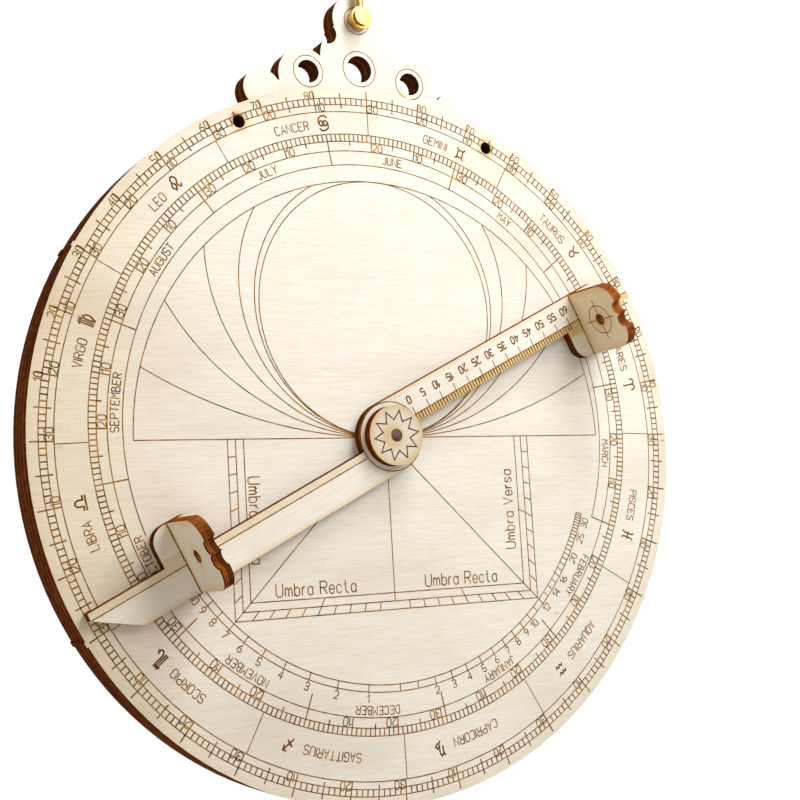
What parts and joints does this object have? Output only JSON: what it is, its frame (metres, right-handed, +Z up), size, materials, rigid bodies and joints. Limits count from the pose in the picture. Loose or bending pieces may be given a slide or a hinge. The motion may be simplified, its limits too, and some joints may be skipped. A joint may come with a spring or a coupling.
{
  "type": "astrolabe",
  "caption": "Plywood planispheric astrolabe: engraved disc with pivoting alidade, rete and rule, throne, shackle and thumb ring.",
  "frame": {"origin": "inside top of the thumb ring, where a finger or hook holds the hanging instrument", "axes": "+Z up; the disc stands in the XZ plane, its back with the alidade and sights facing -Y, its front with the rete and rule facing +Y"},
  "size_m": [0.194, 0.0393, 0.2575],
  "materials": {
    "thumb_ring": "satin drawn wire",
    "shackle_link": "satin drawn wire",
    "shackle_pin": "satin drawn wire",
    "back_plate": "bare laser-cut birch plywood with scorched edges",
    "rim_ring_rear": "bare laser-cut birch plywood with scorched edges",
    "rim_ring_mid": "bare laser-cut birch plywood with scorched edges",
    "limb_ring": "bare laser-cut birch plywood with scorched edges",
    "plate_key": "bare laser-cut birch plywood with scorched edges",
    "climate_plate_rear": "bare laser-cut birch plywood with scorched edges",
    "climate_plate_front": "bare laser-cut birch plywood with scorched edges",
    "throne_rear": "bare laser-cut birch plywood with scorched edges",
    "throne_front": "bare laser-cut birch plywood with scorched edges",
    "throne_bush": "satin drawn wire",
    "alidade_bar": "bare laser-cut birch plywood with scorched edges",
    "sight_plain": "bare laser-cut birch plywood with scorched edges",
    "sight_crosshair": "bare laser-cut birch plywood with scorched edges",
    "star_cap_rear": "bare laser-cut birch plywood with scorched edges",
    "pivot_pin": "dull, dark, turned rod",
    "star_cap_front": "bare laser-cut birch plywood with scorched edges",
    "rete": "bare laser-cut birch plywood with scorched edges",
    "rule": "bare laser-cut birch plywood with scorched edges"
  },
  "bodies": {
    "ring": {"thumb_ring": "thumb_ring"},
    "shackle": {"shackle_link": "shackle_link", "shackle_pin": "shackle_pin"},
    "mater": {"back_plate": "back_plate", "rim_ring_rear": "rim_ring_rear", "rim_ring_mid": "rim_ring_mid", "limb_ring": "limb_ring", "plate_key": "plate_key", "climate_plate_rear": "climate_plate_rear", "climate_plate_front": "climate_plate_front", "throne_rear": "throne_rear", "throne_front": "throne_front", "throne_bush": "throne_bush"},
    "alidade": {"alidade_bar": "alidade_bar", "sight_plain": "sight_plain", "sight_crosshair": "sight_crosshair", "star_cap_rear": "star_cap_rear", "pivot_pin": "pivot_pin", "star_cap_front": "star_cap_front"},
    "rete": {"rete": "rete"},
    "rule": {"rule": "rule"}
  },
  "joints": [
    {"name": "ring_swing", "type": "hinge", "parent": "ring", "child": "shackle", "pos_m": [0, 0, -0.02725], "axis": [1, 0, 0], "range_deg": [-90, 90]},
    {"name": "shackle_swing", "type": "hinge", "parent": "shackle", "child": "mater", "pos_m": [0, 0, -0.04], "axis": [0, -1, 0], "range_deg": [-75, 75]},
    {"name": "alidade_turn", "type": "hinge", "parent": "mater", "child": "alidade", "pos_m": [0, 0, -0.158], "axis": [0, -1, 0], "continuous": true},
    {"name": "rete_turn", "type": "hinge", "parent": "mater", "child": "rete", "pos_m": [0, 0, -0.158], "axis": [0, -1, 0], "continuous": true},
    {"name": "rule_turn", "type": "hinge", "parent": "mater", "child": "rule", "pos_m": [0, 0, -0.158], "axis": [0, -1, 0], "continuous": true}
  ]
}
